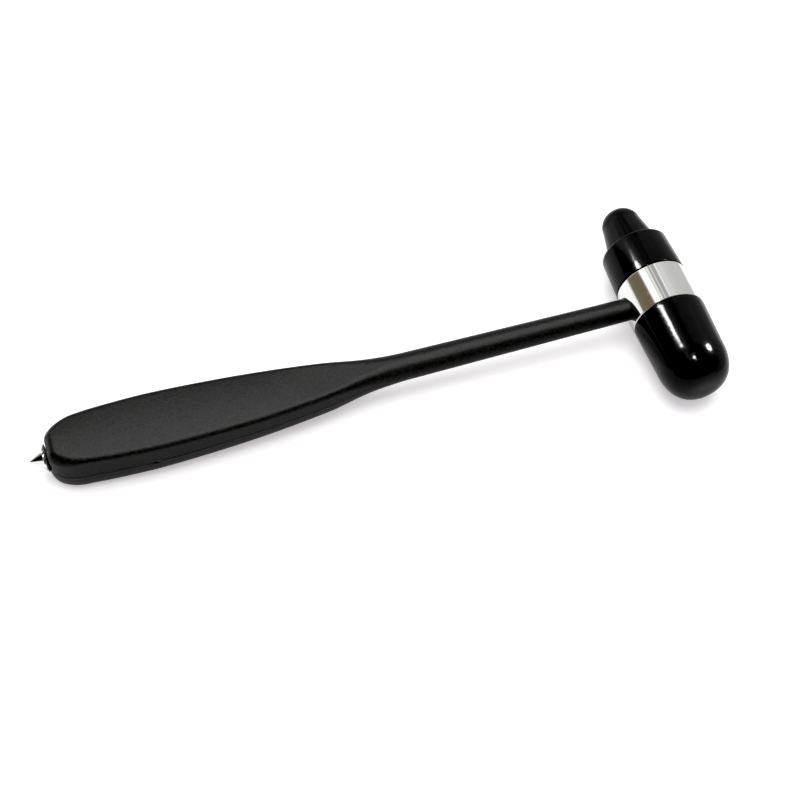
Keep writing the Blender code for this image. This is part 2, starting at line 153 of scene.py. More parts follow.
def filleted(corners, closed=False, count=6):
    """Outline points from (radius, height, fillet radius) corners."""
    points = []
    total = len(corners)
    for index, (radius, height, fillet) in enumerate(corners):
        here = Vector((radius, height))
        ends = not closed and index in (0, total - 1)
        if ends or fillet <= 0.0:
            points.append(here)
            continue
        before = Vector(corners[index - 1][:2]) - here
        after = Vector(corners[(index + 1) % total][:2]) - here
        half = before.angle(after) / 2
        reach = min(fillet / math.tan(half), before.length * 0.49, after.length * 0.49)
        true_radius = reach * math.tan(half)
        toward = (before.normalized() + after.normalized()).normalized()
        centre = here + toward * (true_radius / math.sin(half))
        first = here + before.normalized() * reach - centre
        last = here + after.normalized() * reach - centre
        turn = first.angle_signed(last)
        for step in range(count + 1):
            angle = -turn * step / count
            spoke = Vector((first.x * math.cos(angle) - first.y * math.sin(angle),
                            first.x * math.sin(angle) + first.y * math.cos(angle)))
            points.append(centre + spoke)
    return [(max(point.x, 0.0), point.y) for point in points]


def dome(radius, start, end, bluntness, count):
    """Points of a rounded end from its tip on the axis to its base, evenly spread."""
    points = [(0.0, end)]
    for index in range(1, count + 1):
        angle = math.pi / 2 * (1.0 - (index / count) ** (1.0 / bluntness))
        points.append((radius * math.cos(angle) ** bluntness,
                       start + (end - start) * math.sin(angle)))
    return points


def along_head(radius, angle, height):
    """Place of a turned point on the head's axis."""
    return (radius * math.cos(angle), height, radius * math.sin(angle))


def along_butt(radius, angle, height):
    """Place of a turned point on the handle's axis; height runs towards the butt."""
    return (-height, radius * math.cos(angle), radius * math.sin(angle))


# ------------------------------------------------------------------ meshes

def finish_mesh(shape, name, sharp=30.0):
    """Cleans a bmesh, shades it and makes it an object in the hammer's frame."""
    bmesh.ops.remove_doubles(shape, verts=shape.verts, dist=0.0005 * MM)
    bmesh.ops.dissolve_degenerate(shape, dist=0.0002 * MM, edges=shape.edges)
    bmesh.ops.recalc_face_normals(shape, faces=shape.faces)
    mesh = bpy.data.meshes.new(name)
    shape.to_mesh(mesh)
    shape.free()
    mesh.shade_smooth()
    mesh.set_sharp_from_angle(angle=math.radians(sharp))
    piece = bpy.data.objects.new(name, mesh)
    bpy.context.scene.collection.objects.link(piece)
    return piece


def skin(shape, rings, closed):
    """Quads between neighbouring rings of vertices; a ring of one vertex is a pole."""
    pairs = list(zip(rings, rings[1:]))
    if closed:
        pairs.append((rings[-1], rings[0]))
    for ring, following in pairs:
        count = max(len(ring), len(following))
        for index in range(count):
            onward = (index + 1) % count
            if len(ring) == 1:
                shape.faces.new((ring[0], following[onward], following[index]))
            elif len(following) == 1:
                shape.faces.new((ring[index], ring[onward], following[0]))
            else:
                shape.faces.new((ring[index], ring[onward], following[onward], following[index]))


def lathe(name, outline, place, steps, closed=False, change=None, sharp=30.0):
    """A turned piece; change(radius, angle, height) may shift each point a little."""
    shape = bmesh.new()
    rings = []
    for radius, height in outline:
        count = 1 if radius < 0.001 * MM else steps
        ring = []
        for index in range(count):
            angle = math.tau * index / steps
            spot = change(radius, angle, height) if change else (radius, angle, height)
            ring.append(shape.verts.new(place(*spot)))
        rings.append(ring)
    skin(shape, rings, closed)
    return finish_mesh(shape, name, sharp)


def screw_rows(root, depth, bottom, top, steps, rows=8, fade=0.5 * MM):
    """Rows of a screw thread between two heights, each following the helix.

    Every row keeps one phase of the thread all the way round, so the crest is
    a true helix.  Rows are held inside the two heights, where the thread fades.
    """
    turns = int(math.ceil((top - bottom) / THREAD_PITCH)) + 1
    table = []
    for row in range(rows * turns + 1):
        phase = row / rows
        crest = 1.0 - abs(2.0 * (phase % 1.0) - 1.0)
        shaped = min(max(crest * 1.5 - 0.2, 0.0), 1.0)
        line = []
        for index in range(steps + 1):
            height = bottom + THREAD_PITCH * (phase + index / steps - 1.0)
            height = min(max(height, bottom), top)
            near = min(height - bottom, top - height) / fade
            line.append((root + depth * shaped * min(max(near, 0.0), 1.0), height))
        table.append(line)
    return table


def add_thread(shape, place, root, depth, bottom, top, steps):
    """Adds the thread's faces to a bmesh; its ends are rings at the root's radius."""
    grid = [[shape.verts.new(place(radius, math.tau * index / steps, height))
             for index, (radius, height) in enumerate(line)]
            for line in screw_rows(root, depth, bottom, top, steps)]
    for lower, upper in zip(grid, grid[1:]):
        for index in range(steps):
            corners = (lower[index], lower[index + 1], upper[index + 1], upper[index])
            spots = {tuple(round(value / (0.0002 * MM)) for value in vertex.co) for vertex in corners}
            if len(spots) > 2:
                shape.faces.new(corners)


def threaded_lathe(name, parts, thread, place, steps, closed=False):
    """A turned piece whose outline is open where the thread joins its two parts."""
    shape = bmesh.new()
    for outline in parts:
        rings = []
        for radius, height in outline:
            count = 1 if radius < 0.001 * MM else steps
            rings.append([shape.verts.new(place(radius, math.tau * index / steps, height))
                          for index in range(count)])
        skin(shape, rings, closed)
    add_thread(shape, place, *thread, steps)
    loose = [vertex for vertex in shape.verts if not vertex.link_faces]
    bmesh.ops.delete(shape, geom=loose, context="VERTS")
    return finish_mesh(shape, name, 24.0)


def cut(piece, radius, start, end, steps=128):
    """Cuts a round bore along x out of a piece, from x = start to x = end."""
    shape = bmesh.new()
    rings = [[shape.verts.new((x, radius * math.cos(math.tau * index / steps),
                               radius * math.sin(math.tau * index / steps)))
              for index in range(steps)] for x in (start, end)]
    skin(shape, rings, False)
    shape.faces.new(rings[0])
    shape.faces.new(reversed(rings[1]))
    cutter = finish_mesh(shape, "bore_cutter")
    boolean = piece.modifiers.new("Bore", "BOOLEAN")
    boolean.operation = "DIFFERENCE"
    boolean.solver = "EXACT"
    boolean.object = cutter
    bpy.context.view_layer.update()
    cut_mesh = bpy.data.meshes.new_from_object(piece.evaluated_get(bpy.context.evaluated_depsgraph_get()))
    piece.modifiers.clear()
    old = piece.data
    piece.data = cut_mesh
    bpy.data.meshes.remove(old)
    bpy.data.objects.remove(cutter)


# ------------------------------------------------------------------ handle

def smooth_step(value):
    """0 below 0, 1 above 1, and a smooth rise between."""
    value = min(max(value, 0.0), 1.0)
    return value * value * (3.0 - 2.0 * value)


def curve_value(points, position):
    """Height at a position on the smooth curve through (position, height) points."""
    last = len(points) - 1
    span = 0
    while span < last - 1 and position > points[span + 1][0]:
        span += 1
    slopes = []
    for index in (span, span + 1):
        before = points[max(index - 1, 0)]
        after = points[min(index + 1, last)]
        slopes.append((after[1] - before[1]) / (after[0] - before[0]))
    (x0, y0), (x1, y1) = points[span], points[span + 1]
    width = x1 - x0
    t = (position - x0) / width
    return ((2 * t**3 - 3 * t**2 + 1) * y0 + (t**3 - 2 * t**2 + t) * width * slopes[0]
            + (3 * t**2 - 2 * t**3) * y1 + (t**3 - t**2) * width * slopes[1])


def shaft_radius(distance):
    share = distance / NECK_START
    return SHAFT_RADIUS_HEAD + (SHAFT_RADIUS_NECK - SHAFT_RADIUS_HEAD) * share


def half_width(distance):
    """Half width of the handle, seen from above."""
    from_butt = BUTT_END - distance
    if distance <= NECK_START:
        return shaft_radius(distance)
    if from_butt >= BUTT_CORNER:
        return curve_value(PADDLE_WIDTHS, from_butt)
    share = 1.0 - from_butt / BUTT_CORNER
    bulge = (1.0 - share**BUTT_ROUNDNESS) ** (1.0 / BUTT_ROUNDNESS)
    return BUTT_FLAT + (PADDLE_WIDTHS[0][1] - BUTT_FLAT) * bulge


def handle_stations():
    """Distances from the head's axis of the handle's sections, butt first."""
    corner = [BUTT_CORNER * (index / 64) ** 1.7 for index in range(65)]
    stations = [BUTT_END - from_butt for from_butt in corner]
    for end, step in ((NECK_END, 1.0 * MM), (NECK_START, 0.6 * MM), (SHAFT_SEAT, 2.5 * MM)):
        start = stations[-1]
        count = int(math.ceil((start - end) / step))
        stations += [start + (end - start) * index / count for index in range(1, count + 1)]
    return stations


def plan_outline(count=2400):
    """The handle's half outline seen from above, from the butt's centre on."""
    from_butt = (BUTT_END - SHAFT_SEAT) * np.linspace(0.0, 1.0, count) ** 2
    distances = BUTT_END - from_butt
    widths = np.array([half_width(distance) for distance in distances])
    points = np.column_stack((distances, widths))
    return np.vstack(([BUTT_END, 0.0], points))


def edge_distances(outline, distance, across):
    """Shortest ways from points (distance, across) to the plan outline."""
    starts, runs = outline[:-1], np.diff(outline, axis=0)
    lengths = np.maximum((runs**2).sum(1), 1e-18)
    away = np.column_stack((np.full(len(across), distance), across))
    offset = away[:, None, :] - starts[None, :, :]
    share = np.clip((offset * runs).sum(2) / lengths, 0.0, 1.0)
    gap = offset - share[:, :, None] * runs
    return np.sqrt((gap**2).sum(2).min(1))


def round_over(inset, across, depth, shape=2.0):
    """How far a face drops near its edge; shape 2 is an elliptical fillet, less is crisper."""
    share = 1.0 - np.clip(inset / across, 0.0, 1.0)
    return depth * (1.0 - (1.0 - share**shape) ** (1.0 / shape))


def flash(distance):
    """Height of the parting line's ridge, uneven along its length, with one nick cut into it."""
    ragged = noise.noise(Vector((distance * 260.0, 3.7, 0.0)))
    return FLASH_HEIGHT * (0.75 + 0.5 * ragged) - NICK_DEPTH * nick(distance)


def nick(distance):
    """1 in the middle of the nick, falling to 0 at its ends."""
    return math.exp(-((distance - NICK_PLACE) / NICK_REACH) ** 4)


def handle_ring(outline, distance, count=28):
    """Ring of (y, z) points, half from top centre to bottom centre, then mirrored."""
    width = half_width(distance)
    paddle = smooth_step((distance - NECK_START) / (NECK_END - NECK_START))
    along = max((distance - NECK_END) / (BUTT_END - NECK_END), 0.0)
    radius = shaft_radius(min(distance, NECK_START))
    top = radius + (TOP_DEPTH_NECK + (TOP_DEPTH_BUTT - TOP_DEPTH_NECK) * along - radius) * paddle
    under = radius + (UNDER_DEPTH_NECK + (UNDER_DEPTH_BUTT - UNDER_DEPTH_NECK) * along - radius) * paddle
    rounder = smooth_step(1.0 - (BUTT_END - distance) / BUTT_RUN)
    round_in = TOP_FILLET + (BUTT_ROUND_IN - TOP_FILLET) * rounder
    round_down = TOP_FILLET + (BUTT_ROUND_DOWN - TOP_FILLET) * rounder
    fillet = radius + (round_in - radius) * paddle
    under_rounding = UNDER_FILLET_NECK + (UNDER_FILLET_BUTT - UNDER_FILLET_NECK) * along
    under_across = radius + (under_rounding - radius) * paddle
    parting = -PARTING_DROP * under * paddle
    band = parting + FLASH_BAND * (1.0 + (NICK_WIDENING - 1.0) * nick(distance))
    side_top = max(top - radius - (round_down - radius) * paddle, band)
    draft = max((WALL_DRAFT + (BUTT_DRAFT - WALL_DRAFT) * rounder) * paddle, LEAST_DRAFT)
    spread = np.sin(np.pi / 2 * np.arange(count + 1) / count)
    across_top = np.append((width - draft) * spread, width - draft * np.array((0.8, 0.6, 0.4, 0.2, 0.0)))
    inset_top = edge_distances(outline, distance, across_top)
    crown = TOP_CROWN * smooth_step(along * 4.0) * (across_top / width) ** 2
    shape = 2.0 + (BUTT_ROUND_SHAPE - 2.0) * rounder
    rounded = top - crown - round_over(inset_top - draft, fillet, top - crown - side_top, shape)
    z_top = np.where(inset_top < draft, band + (side_top - band) * inset_top / draft, rounded)
    across_under = width * spread[::-1]
    inset_under = edge_distances(outline, distance, across_under)
    z_under = -under + round_over(inset_under, under_across, under + parting)
    ridge = flash(distance) * (0.35 + 0.65 * paddle)
    wall = [(width + ridge, parting + (band - parting) * share) for share in (0.75, 0.25)]
    half = list(zip(across_top, z_top)) + wall + list(zip(across_under, z_under))
    return half + [(-y, z) for y, z in reversed(half[1:-1])]


def make_handle():
    """Black moulding, bored from the head for the rod and from the butt for the bush."""
    outline = plan_outline()
    shape = bmesh.new()
    rings = [[shape.verts.new((-distance, y, z)) for y, z in handle_ring(outline, distance)]
             for distance in handle_stations()]
    skin(shape, rings, False)
    shape.faces.new(rings[0])
    shape.faces.new(reversed(rings[-1]))
    handle = finish_mesh(shape, "handle_moulding", 35.0)
    cut(handle, ROD_RADIUS + GAP, -ROD_INNER_END - GAP, -SHAFT_SEAT + MM)
    cut(handle, INSERT_RADIUS + GAP, -BUTT_END - MM, -BUTT_END + INSERT_LENGTH + GAP)
    return handle


# -------------------------------------------------------------------- head

def make_sleeve():
    """Chromed sleeve with rounded ends and a cross hole for the shaft."""
    high = BAND_HALF - GAP
    corners = [(BARREL_BORE, high, 0.1 * MM), (BARREL_RADIUS, high, 0.3 * MM),
               (BARREL_RADIUS, -high, 0.3 * MM), (BARREL_BORE, -high, 0.1 * MM)]
    sleeve = lathe("head_sleeve", filleted(corners, True), along_head, 256, closed=True)
    cut(sleeve, shaft_radius(BARREL_RADIUS) + GAP, -BARREL_RADIUS - MM, -BARREL_BORE / 2)
    keep_round(sleeve, BARREL_RADIUS)
    return sleeve


def keep_round(piece, radius):
    """Gives the outer face its true round normals, so that its mirror is even."""
    mesh = piece.data
    flat_end = BAND_HALF - GAP - 0.3 * MM
    normals = [tuple(normal.vector) for normal in mesh.corner_normals]
    for polygon in mesh.polygons:
        spots = [mesh.vertices[index].co for index in polygon.vertices]
        outer = all(abs(math.hypot(spot.x, spot.z) - radius) < 0.01 * MM for spot in spots)
        level = all(abs(spot.y) <= flat_end + 0.001 * MM for spot in spots)
        if outer and level:
            for loop, spot in zip(polygon.loop_indices, spots):
                normals[loop] = tuple(Vector((spot.x, 0.0, spot.z)).normalized())
    mesh.normals_split_custom_set(normals)


def rubber_wobble(angle, height, size):
    """Uneven surface of a moulded cap: how far it lies below its true round form."""
    spot = Vector((math.cos(angle) * 1.6, math.sin(angle) * 1.6, height * 160.0))
    return -size * (0.5 + 0.5 * noise.noise(spot + Vector((5.1, 0.4, 2.9))))


def smooth_end(share):
    """Share along a line whose steps grow finer towards its end."""
    return 1.0 - (1.0 - share) ** 1.8


def make_large_cap():
    """Rubber cap with a blunt round end, a rim with thin flash and a blind bore."""
    def change(radius, angle, height):
        outer = radius > SPIGOT_RADIUS + MM or height > LARGE_SPIGOT_END + MM
        if not outer:
            return radius, angle, height
        dent = rubber_wobble(angle, height, 0.04 * MM) * min(radius / RIM_RADIUS, 1.0)
        x = (radius + dent) * math.cos(angle) + CAP_SHIFT * min(radius / RIM_RADIUS, 1.0)
        z = (radius + dent) * math.sin(angle)
        # Thin ragged flash stands off the rim's outer edge, along its upper side
        edge = smooth_step(1.0 - (height - BAND_HALF) / (0.5 * MM))
        lip = smooth_step((radius - BARREL_RADIUS) / (0.04 * MM))
        ragged = 0.5 + 0.9 * noise.noise(Vector((math.cos(angle) * 11.0, math.sin(angle) * 11.0, 0.3)))
        upper = smooth_step((math.sin(angle) + 0.25 * math.cos(angle) - 0.2) / 0.4)
        flash_length = edge * lip * RIM_FLASH * upper * (0.65 + 0.35 * max(ragged, 0.0))
        return math.hypot(x, z), math.atan2(z, x), height - flash_length

    outline = dome(LARGE_NECK_RADIUS, LARGE_DOME_START, LARGE_END, LARGE_BLUNTNESS, 56)
    sides = 24
    rim_top = BAND_HALF + 0.3 * MM
    widening = RIM_RADIUS + RIM_SWELL - LARGE_NECK_RADIUS
    for index in range(1, sides + 1):
        share = smooth_end(index / sides)
        height = LARGE_DOME_START + (rim_top - LARGE_DOME_START) * share
        roll = RIM_ROLL * max(1.0 - (height - BAND_HALF) / RIM_ROLL_RUN, 0.0) ** 2
        outline.append((LARGE_NECK_RADIUS + widening * share - roll, height))
    rim_radius = outline[-1][0]
    rim = [(rim_radius, rim_top, 0.0), (rim_radius - 0.03 * MM, BAND_HALF, 0.18 * MM),
           (SPIGOT_RADIUS + GAP, BAND_HALF, 0.3 * MM),
           (SPIGOT_RADIUS + GAP, LARGE_SPIGOT_END + GAP, 0.5 * MM), (0.0, LARGE_SPIGOT_END + GAP, 0.0)]
    outline += filleted(rim)[1:]
    return lathe("mallet_large_cap", outline, lambda r, a, h: along_head(r, a, -h), 192, change=change)


def make_small_cap():
    """Rubber cap with a collar, a tapered nose and a blind bore."""
    def change(radius, angle, height):
        outer = radius > SPIGOT_RADIUS + MM or height > SMALL_SPIGOT_END + MM
        if not outer:
            return radius, angle, height
        dent = rubber_wobble(angle, height, 0.03 * MM) * min(radius / RIM_RADIUS, 1.0)
        return radius + dent, angle, height

    outline = dome(NOSE_TOP_RADIUS, NOSE_DOME_START, SMALL_END, 1.0, 28)
    sides = 12
    for index in range(1, sides):
        share = index / sides
        outline.append((NOSE_TOP_RADIUS + (NOSE_BASE_RADIUS - NOSE_TOP_RADIUS) * share,
                        NOSE_DOME_START + (COLLAR_END - NOSE_DOME_START) * share))
    last_radius, last_height = outline[-1]
    step = [(last_radius, last_height, 0.0), (NOSE_BASE_RADIUS, COLLAR_END, 0.35 * MM),
            (COLLAR_STEP_RADIUS, COLLAR_END, 0.8 * MM)]
    middle = (COLLAR_END + BAND_HALF) / 2
    middle_radius = (COLLAR_STEP_RADIUS + RIM_RADIUS) / 2
    step += [(middle_radius, middle, 0.0), (RIM_RADIUS, BAND_HALF, 0.18 * MM),
             (SPIGOT_RADIUS + GAP, BAND_HALF, 0.3 * MM),
             (SPIGOT_RADIUS + GAP, SMALL_SPIGOT_END + GAP, 0.5 * MM), (0.0, SMALL_SPIGOT_END + GAP, 0.0)]
    outline += filleted(step, count=8)[1:]
    return lathe("mallet_small_cap", outline, along_head, 192, change=change)


def spigot_corners(end, grooves, sign):
    """Corners of one grooved spigot, from its end to the shoulder at the sleeve."""
    corners = [(0.0, sign * end, 0.0), (SPIGOT_RADIUS - MM, sign * end, 0.15 * MM),
               (SPIGOT_RADIUS, sign * (end - MM), 0.15 * MM)]
    for index in range(grooves):
        outer = end - SPIGOT_LAND - SPIGOT_GROOVE_PITCH * index
        inner = outer - SPIGOT_GROOVE_WIDTH
        floor = SPIGOT_RADIUS - SPIGOT_GROOVE
        corners += [(SPIGOT_RADIUS, sign * outer, 0.1 * MM),
                    (floor, sign * (outer - SPIGOT_GROOVE), 0.15 * MM),
                    (floor, sign * (inner + SPIGOT_GROOVE), 0.15 * MM),
                    (SPIGOT_RADIUS, sign * inner, 0.1 * MM)]
    return corners


def make_head_bar():
    """Turned steel bar with a grooved spigot for each mallet."""
    core = BARREL_BORE - GAP
    high = BAND_HALF - GAP
    corners = spigot_corners(SMALL_SPIGOT_END, 2, 1.0)
    corners += [(SPIGOT_RADIUS, high, 0.2 * MM), (core, high, 0.2 * MM),
                (core, -high, 0.2 * MM), (SPIGOT_RADIUS, -high, 0.2 * MM)]
    corners += list(reversed(spigot_corners(LARGE_SPIGOT_END, 3, -1.0)))
    bar = lathe("head_bar", filleted(corners, count=3), along_head, 128)
    cut(bar, shaft_radius(BARREL_RADIUS) + GAP, -BARREL_RADIUS, -SHAFT_SEAT + GAP)
    cut(bar, ROD_RADIUS + GAP, -BARREL_RADIUS, ROD_HEAD_END + MM, 64)
    return bar


def make_rod():
    """Steel rod with keying grooves in the moulding and a screwed head end."""
    key = 1.8 * MM
    corners = [(0.0, ROD_INNER_END, 0.0), (ROD_RADIUS, ROD_INNER_END, 0.3 * MM)]
    for index in range(3):
        outer = ROD_INNER_END - 3.0 * MM - 6.0 * MM * index
        corners += [(ROD_RADIUS, outer, 0.1 * MM), (key, outer - 0.3 * MM, 0.1 * MM),
                    (key, outer - 2.7 * MM, 0.1 * MM), (ROD_RADIUS, outer - 3.0 * MM, 0.1 * MM)]
    root = ROD_RADIUS - 0.3 * MM
    lower = filleted(corners + [(ROD_RADIUS, -ROD_HEAD_END + 12.2 * MM, 0.0),
                                (root, -ROD_HEAD_END + 12.0 * MM, 0.0)], count=3)
    upper = [(root, -ROD_HEAD_END + 0.6 * MM), (root - 0.4 * MM, -ROD_HEAD_END), (0.0, -ROD_HEAD_END)]
    thread = (root, 0.3 * MM, -ROD_HEAD_END + 0.6 * MM, -ROD_HEAD_END + 12.0 * MM)
    return threaded_lathe("shaft_rod", [lower, upper], thread, along_butt, 48)


# ------------------------------------------------------------ bush and point

def make_bush():
    """Plated bush moulded into the butt, grooved outside and tapped inside."""
    face = BUTT_END
    inner = BUTT_END - INSERT_LENGTH
    bore = SHANK_RADIUS + GAP
    corners = [(bore, face - 0.25 * MM, 0.0), (bore + 0.3 * MM, face, 0.0),
               (INSERT_RADIUS, face, 0.15 * MM)]
    for share in (0.25, 0.6):
        middle = face - INSERT_LENGTH * share
        floor = INSERT_RADIUS - 0.35 * MM
        corners += [(INSERT_RADIUS, middle + 0.8 * MM, 0.08 * MM), (floor, middle + 0.5 * MM, 0.08 * MM),
                    (floor, middle - 0.5 * MM, 0.08 * MM), (INSERT_RADIUS, middle - 0.8 * MM, 0.08 * MM)]
    corners += [(INSERT_RADIUS, inner, 0.15 * MM), (bore + 0.3 * MM, inner, 0.0),
                (bore, inner + 0.25 * MM, 0.0)]
    thread = (bore, 0.3 * MM, inner + 0.25 * MM, face - 0.25 * MM)
    return threaded_lathe("butt_bush", [filleted(corners, count=3)], thread, along_butt, 96)


def make_washer():
    """Flat rubber washer with rounded edges between the butt and the collar."""
    back = BUTT_END + SEAL_GAP
    front = back + SEAL_THICKNESS
    bore = SHANK_RADIUS + GAP
    corners = [(bore, back, 0.15 * MM), (bore, front, 0.15 * MM),
               (SEAL_OUTER, front, 0.28 * MM), (SEAL_OUTER, back, 0.28 * MM)]
    return lathe("butt_washer", filleted(corners, True), along_butt, 128, closed=True)


def make_point():
    """Chromed point: a cone on a narrow collar, with a screwed shank."""
    back = BUTT_END + SEAL_THICKNESS + 2 * SEAL_GAP
    front = back + TIP_COLLAR_LENGTH
    inner = back - SHANK_LENGTH
    root = SHANK_RADIUS - THREAD_DEPTH
    cone = [(0.0, TIP_APEX, 0.0), (TIP_APEX_RADIUS, TIP_APEX - 0.03 * MM, 0.05 * MM)]
    cone += [(TIP_CONE_RADIUS, front, 0.12 * MM), (TIP_COLLAR_RADIUS, front, 0.12 * MM),
             (TIP_COLLAR_RADIUS, back, 0.18 * MM), (SHANK_RADIUS, back, 0.1 * MM),
             (SHANK_RADIUS, back - 0.5 * MM, 0.05 * MM), (root, back - 0.7 * MM, 0.0)]
    end = [(root, inner + 0.3 * MM), (root - 0.3 * MM, inner), (0.0, inner)]
    thread = (root, THREAD_DEPTH, inner + 0.3 * MM, back - 0.7 * MM)
    return threaded_lathe("butt_point", [filleted(cone, count=5), end], thread, along_butt, 96)


# --------------------------------------------------------------- materials

class Finish:
    """A Principled material with procedural detail in the hammer's own frame."""

    def __init__(self, name, colour, roughness, metallic=0.0, **sockets):
        self.material = bpy.data.materials.new(name)
        self.material.use_nodes = True
        self.nodes = self.material.node_tree.nodes
        self.links = self.material.node_tree.links
        self.shader = self.nodes["Principled BSDF"]
        self.shader.inputs["Base Color"].default_value = (*colour, 1.0)
        self.shader.inputs["Roughness"].default_value = roughness
        self.shader.inputs["Metallic"].default_value = metallic
        for socket, value in sockets.items():
            self.shader.inputs[socket.replace("_", " ")].default_value = value
        self.material.diffuse_color = (*colour, 1.0)
        self.place = self.nodes.new("ShaderNodeTexCoord").outputs["Object"]
        self.normal = None

    def stretched(self, stretch):
        """The piece's own coordinates, scaled along its axes."""
        mapping = self.nodes.new("ShaderNodeMapping")
        mapping.inputs["Scale"].default_value = stretch
        self.links.new(self.place, mapping.inputs["Vector"])
        return mapping.outputs["Vector"]

    def noise(self, size, detail=2.0, stretch=(1.0, 1.0, 1.0)):
        """Cloudy noise whose patches are about size metres across."""
        texture = self.nodes.new("ShaderNodeTexNoise")
        texture.inputs["Scale"].default_value = 1.0 / size
        texture.inputs["Detail"].default_value = detail
        self.links.new(self.stretched(stretch), texture.inputs["Vector"])
        return texture.outputs["Fac"]

    def specks(self, size, share):
        """Sparse round specks about size metres apart; share is how wide each is."""
        texture = self.nodes.new("ShaderNodeTexVoronoi")
        texture.inputs["Scale"].default_value = 1.0 / size
        self.links.new(self.place, texture.inputs["Vector"])
        return self.spread(texture.outputs["Distance"], 1.0, 0.0, share * 0.6, share)

    def spread(self, value, low, high, start=0.0, end=1.0):
        """Maps a value from start..end to low..high."""
        ranged = self.nodes.new("ShaderNodeMapRange")
        ranged.inputs["From Min"].default_value = start
        ranged.inputs["From Max"].default_value = end
        ranged.inputs["To Min"].default_value = low
        ranged.inputs["To Max"].default_value = high
        self.links.new(value, ranged.inputs["Value"])
        return ranged.outputs["Result"]

    def mix(self, factor, first, second):
        """Colour between two colours, by a factor."""
        mixer = self.nodes.new("ShaderNodeMix")
        mixer.data_type = "RGBA"
        for socket, colour in (("A", first), ("B", second)):
            target = next(i for i in mixer.inputs if i.name == socket and i.type == "RGBA")
            if isinstance(colour, tuple):
                target.default_value = (*colour, 1.0)
            else:
                self.links.new(colour, target)
        self.links.new(factor, mixer.inputs[0])
        return next(o for o in mixer.outputs if o.type == "RGBA")

    def times(self, first, second):
        product = self.nodes.new("ShaderNodeMath")
        product.operation = "MULTIPLY"
        for socket, value in zip(product.inputs, (first, second)):
            if isinstance(value, float):
                socket.default_value = value
            else:
                self.links.new(value, socket)
        return product.outputs["Value"]

    def add(self, first, second):
        total = self.nodes.new("ShaderNodeMath")
        total.operation = "ADD"
        self.links.new(first, total.inputs[0])
        self.links.new(second, total.inputs[1])
        return total.outputs["Value"]

    def colour(self, value):
        self.links.new(value, self.shader.inputs["Base Color"])

    def roughness(self, value):
        self.links.new(value, self.shader.inputs["Roughness"])

    def bump(self, height, depth):
        """Adds relief of depth metres; later calls build on earlier ones."""
        bump = self.nodes.new("ShaderNodeBump")
        bump.inputs["Distance"].default_value = depth
        self.links.new(height, bump.inputs["Height"])
        if self.normal:
            self.links.new(self.normal, bump.inputs["Normal"])
        self.normal = bump.outputs["Normal"]
        self.links.new(self.normal, self.shader.inputs["Normal"])


def satin_plastic():
    """Moulded black plastic with a fine spark-eroded grain."""
    finish = Finish("handle_black", (0.011, 0.011, 0.0115), 0.33, Specular_IOR_Level=0.085)
    clouds = finish.noise(14.0 * MM, 3.0)
    tone = finish.mix(clouds, (0.0042, 0.0044, 0.0041), (0.0060, 0.0062, 0.0058))
    grain = finish.spread(finish.noise(0.75 * MM, 2.0), 0.0, 0.8, 0.3, 0.7)
    tone = finish.mix(grain, tone, (0.0142, 0.0146, 0.0136))
    specks = finish.specks(5.0 * MM, 0.035)
    finish.colour(finish.mix(finish.times(specks, 0.4), tone, (0.12, 0.12, 0.12)))
    patches = finish.noise(2.2 * MM, 4.0)
    finish.roughness(finish.spread(patches, 0.31, 0.36, 0.3, 0.7))
    finish.bump(finish.noise(0.9 * MM, 3.0), 0.1 * MM)
    finish.bump(finish.noise(0.3 * MM, 2.0), 0.006 * MM)
    return finish.material


def gloss_rubber():
    """Black moulded rubber: glossy, faintly uneven, with dust and light scuffs."""
    finish = Finish("black_rubber", (0.002, 0.002, 0.0021), 0.12, Specular_IOR_Level=0.09)
    clouds = finish.noise(9.0 * MM, 3.0)
    tone = finish.mix(clouds, (0.0040, 0.0040, 0.0041), (0.0062, 0.0062, 0.0063))
    specks = finish.specks(3.2 * MM, 0.04)
    finish.colour(finish.mix(finish.times(specks, 0.3), tone, (0.12, 0.12, 0.12)))
    patches = finish.noise(2.0 * MM, 5.0)
    scuffs = finish.noise(1.1 * MM, 4.0, (0.35, 1.0, 0.35))
    gloss = finish.add(finish.spread(patches, 0.10, 0.145, 0.3, 0.7),
                       finish.spread(scuffs, 0.0, 0.10, 0.64, 0.8))
    finish.roughness(gloss)
    finish.bump(finish.noise(5.0 * MM, 2.0), 0.05 * MM)
    finish.bump(finish.noise(0.9 * MM, 2.0), 0.004 * MM)
    return finish.material


def turned_metal(name, colour, roughness, stretch, line, depth, haze=0.08):
    """Metal with fine turning lines across the stretched axis."""
    finish = Finish(name, colour, roughness, 1.0)
    clouds = finish.noise(4.0 * MM, 3.0)
    darker = tuple(channel * 0.93 for channel in colour)
    finish.colour(finish.mix(clouds, colour, darker))
    lines = finish.noise(line, 3.0, stretch)
    worn = finish.noise(1.8 * MM, 5.0)
    finish.roughness(finish.add(finish.spread(lines, roughness * 0.8, roughness * 1.3, 0.3, 0.7),
                                finish.spread(worn, 0.0, haze, 0.5, 0.85)))
    finish.bump(lines, depth)
    return finish.material


def washer_rubber():
    """Matt dark rubber."""
    finish = Finish("seal_rubber", (0.012, 0.012, 0.012), 0.4)
    finish.roughness(finish.spread(finish.noise(0.6 * MM, 3.0), 0.32, 0.5))
    finish.colour(finish.mix(finish.noise(1.5 * MM), (0.009, 0.009, 0.009), (0.018, 0.018, 0.018)))
    finish.bump(finish.noise(0.2 * MM), 0.004 * MM)
    return finish.material


# ------------------------------------------------------------------- build

